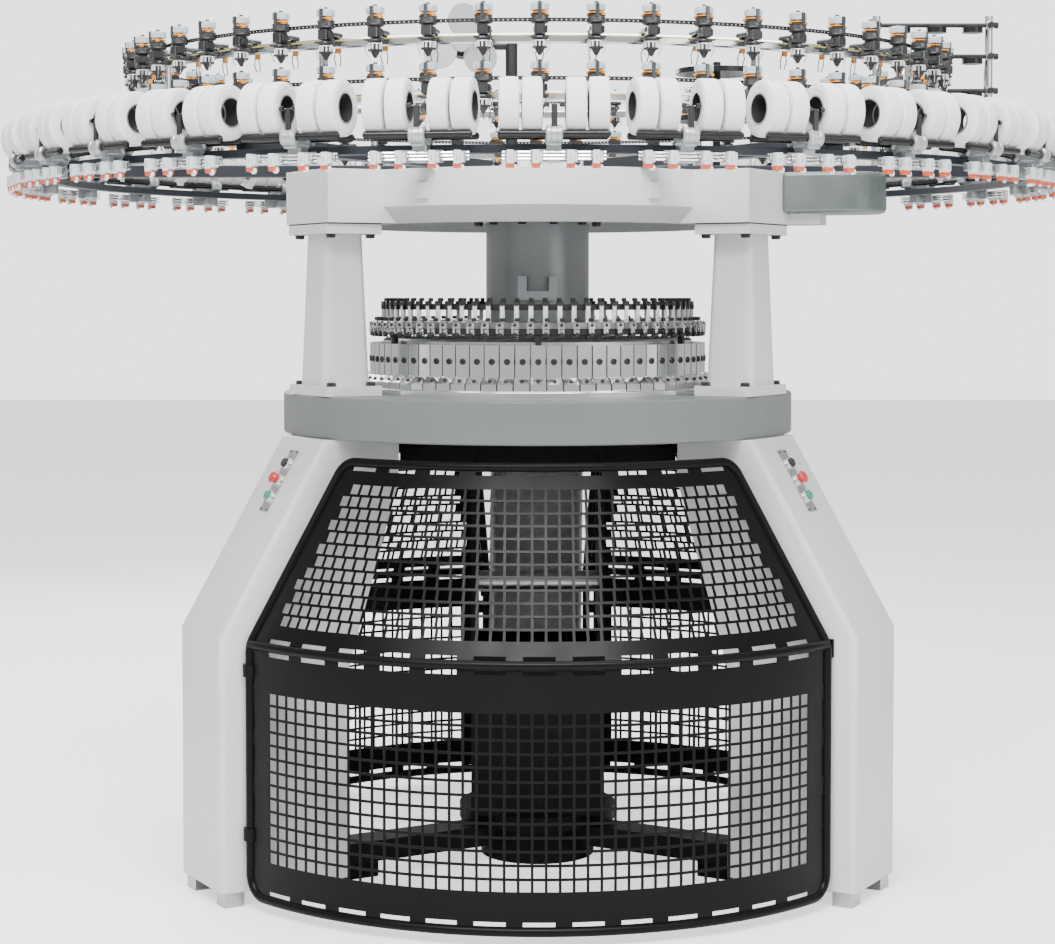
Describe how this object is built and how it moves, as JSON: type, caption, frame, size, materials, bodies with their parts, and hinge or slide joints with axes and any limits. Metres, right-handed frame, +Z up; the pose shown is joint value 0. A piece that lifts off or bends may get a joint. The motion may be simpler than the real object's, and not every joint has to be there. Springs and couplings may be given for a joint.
{
  "type": "industrial circular knitting machine",
  "caption": "Circular knitting machine on three legs, with a ring of cam blocks, guard doors, a take-down frame, rings of yarn feeders and elastane yarn rollers.",
  "frame": {"origin": "centre of the footprint on the floor, on the machine's axis", "axes": "+Z up along the machine's axis, -Y towards the front guard door, +X to the right arm with the drive housing"},
  "size_m": [3.1254, 3.1203, 2.5413],
  "materials": {
    "white_enamel": "satin white enamel",
    "bed_grey": "satin grey enamel",
    "black_coat": "black powder coat",
    "blackened_steel": "blackened bolts",
    "navy_coat": "dark blue powder coat",
    "drive_enamel": "grey-green hammered enamel",
    "polished_steel": "polished",
    "brushed_steel": "brushed",
    "cast_grey": "satin",
    "belt_black": "ribbed belt",
    "gasket_black": "matt",
    "roller_black": "satin",
    "yarn_white": "wound yarn",
    "sensor_grey": "moulded",
    "flag_orange": "gloss",
    "wheel_grey": "satin",
    "button_red": "gloss",
    "button_green": "gloss",
    "button_black": "gloss",
    "fan_grey": "satin"
  },
  "bodies": {
    "machine": {"leg_front_left": "white_enamel", "leg_front_right": "white_enamel", "leg_rear": "white_enamel", "levelling_feet": "brushed_steel", "base_beams": "black_coat", "bed_plate": "bed_grey", "cam_ring": "polished_steel", "pillars": "white_enamel", "crown_gaskets": "gasket_black", "crown": "white_enamel", "drive_housing": "drive_enamel", "centre_drum": "bed_grey", "dial": "brushed_steel", "drum_bracket": "cast_grey", "cam_blocks": "polished_steel", "guide_rings": "cast_grey", "yarn_carriers": "polished_steel", "fasteners": "blackened_steel", "door_fittings": "black_coat", "button_plates": "brushed_steel", "creel_arms": "navy_coat", "creel_ring": "navy_coat", "creel_posts": "polished_steel", "roller_brackets": "cast_grey", "elastane_rollers": "roller_black", "bobbins": "yarn_white", "sensor_rods": "polished_steel", "sensor_bodies": "sensor_grey", "sensor_flags": "flag_orange", "feeder_rails": "polished_steel", "feeder_belts": "belt_black", "feeder_bodies": "cast_grey", "feeder_wheels": "wheel_grey", "tension_bars": "black_coat", "tension_pulleys": "roller_black", "fan_mount": "blackened_steel"},
    "knitting_rotor": {"needle_cylinder": "brushed_steel", "main_gear": "brushed_steel", "takedown_frame": "black_coat"},
    "draw_roller": {"draw_roller": "brushed_steel"},
    "cloth_roller": {"cloth_roller": "roller_black"},
    "drive_pinion": {"drive_pinion": "brushed_steel"},
    "quality_pulleys": {"quality_pulleys": "roller_black"},
    "front_feeder": {"feeder_wheel_front": "wheel_grey"},
    "front_roller_outer": {"front_roller_outer": "roller_black"},
    "front_roller_inner": {"front_roller_inner": "roller_black"},
    "front_bobbins": {"front_bobbins": "yarn_white"},
    "fan_blades": {"fan_blades": "fan_grey"},
    "door_front": {"door_front_frame": "black_coat", "door_front_sheets": "black_coat"},
    "door_right": {"door_right_frame": "black_coat", "door_right_sheets": "black_coat"},
    "door_left": {"door_left_frame": "black_coat", "door_left_sheets": "black_coat"},
    "button_black_left": {"button_black_left": "button_black"},
    "button_black_right": {"button_black_right": "button_black"},
    "button_red_left": {"button_red_left": "button_red"},
    "button_red_right": {"button_red_right": "button_red"},
    "button_green_left": {"button_green_left": "button_green"},
    "button_green_right": {"button_green_right": "button_green"}
  },
  "joints": [
    {"name": "cylinder_spin", "type": "hinge", "parent": "machine", "child": "knitting_rotor", "pos_m": [0, 0, 1.3], "axis": [0, 0, 1], "continuous": true},
    {"name": "draw_roller_spin", "type": "hinge", "parent": "knitting_rotor", "child": "draw_roller", "pos_m": [0, 0, 0.82], "axis": [1, 0, 0], "continuous": true},
    {"name": "cloth_roller_spin", "type": "hinge", "parent": "knitting_rotor", "child": "cloth_roller", "pos_m": [0, 0, 0.33], "axis": [1, 0, 0], "continuous": true},
    {"name": "pinion_spin", "type": "hinge", "parent": "machine", "child": "drive_pinion", "pos_m": [0.50576, -0.292, 1.3], "axis": [0, 0, 1], "continuous": true},
    {"name": "quality_pulley_spin", "type": "hinge", "parent": "machine", "child": "quality_pulleys", "pos_m": [0.545, 0.12, 2.2], "axis": [0, 0, 1], "continuous": true},
    {"name": "front_feeder_spin", "type": "hinge", "parent": "machine", "child": "front_feeder", "pos_m": [0, -1.1953, 2.35], "axis": [0, 0, 1], "continuous": true},
    {"name": "front_roller_outer_spin", "type": "hinge", "parent": "machine", "child": "front_roller_outer", "pos_m": [0.032, -1.52767, 2.05], "axis": [0.9998, 0.0209, 0], "continuous": true},
    {"name": "front_roller_inner_spin", "type": "hinge", "parent": "machine", "child": "front_roller_inner", "pos_m": [0.03041, -1.45168, 2.05], "axis": [0.9998, 0.0209, 0], "continuous": true},
    {"name": "front_bobbins_spin", "type": "hinge", "parent": "machine", "child": "front_bobbins", "pos_m": [0.0312, -1.48967, 2.11732], "axis": [0.9998, 0.0209, 0], "continuous": true},
    {"name": "fan_spin", "type": "hinge", "parent": "machine", "child": "fan_blades", "pos_m": [-0.225, -0.06, 2.422], "axis": [0, 1, 0], "continuous": true},
    {"name": "door_front_swing", "type": "hinge", "parent": "machine", "child": "door_front", "pos_m": [-0.78557, -0.65336, 0.7], "axis": [0, 0, -1], "range_deg": [0, 85]},
    {"name": "door_right_swing", "type": "hinge", "parent": "machine", "child": "door_right", "pos_m": [0.95861, -0.35365, 0.7], "axis": [0, 0, -1], "range_deg": [0, 85]},
    {"name": "door_left_swing", "type": "hinge", "parent": "machine", "child": "door_left", "pos_m": [-0.17303, 1.007, 0.7], "axis": [0, 0, -1], "range_deg": [0, 85]},
    {"name": "button_black_left_press", "type": "slide", "parent": "machine", "child": "button_black_left", "axis": [0.7457, 0.4305, -0.5085], "range_m": [0, 0.004], "stiffness_N_per_m": 500},
    {"name": "button_red_left_press", "type": "slide", "parent": "machine", "child": "button_red_left", "axis": [0.7457, 0.4305, -0.5085], "range_m": [0, 0.004], "stiffness_N_per_m": 500},
    {"name": "button_green_left_press", "type": "slide", "parent": "machine", "child": "button_green_left", "axis": [0.7457, 0.4305, -0.5085], "range_m": [0, 0.004], "stiffness_N_per_m": 500},
    {"name": "button_black_right_press", "type": "slide", "parent": "machine", "child": "button_black_right", "axis": [-0.7457, 0.4305, -0.5085], "range_m": [0, 0.004], "stiffness_N_per_m": 500},
    {"name": "button_red_right_press", "type": "slide", "parent": "machine", "child": "button_red_right", "axis": [-0.7457, 0.4305, -0.5085], "range_m": [0, 0.004], "stiffness_N_per_m": 500},
    {"name": "button_green_right_press", "type": "slide", "parent": "machine", "child": "button_green_right", "axis": [-0.7457, 0.4305, -0.5085], "range_m": [0, 0.004], "stiffness_N_per_m": 500}
  ],
  "couplings": [
    {"joint": "pinion_spin", "follows": "cylinder_spin", "ratio": -11.167},
    {"joint": "draw_roller_spin", "follows": "cylinder_spin", "ratio": 0.21},
    {"joint": "cloth_roller_spin", "follows": "cylinder_spin", "ratio": 0.15},
    {"joint": "quality_pulley_spin", "follows": "cylinder_spin", "ratio": 4},
    {"joint": "front_feeder_spin", "follows": "cylinder_spin", "ratio": -20.833},
    {"joint": "front_roller_outer_spin", "follows": "cylinder_spin", "ratio": 6},
    {"joint": "front_roller_inner_spin", "follows": "cylinder_spin", "ratio": 6},
    {"joint": "front_bobbins_spin", "follows": "cylinder_spin", "ratio": -0.79412}
  ]
}
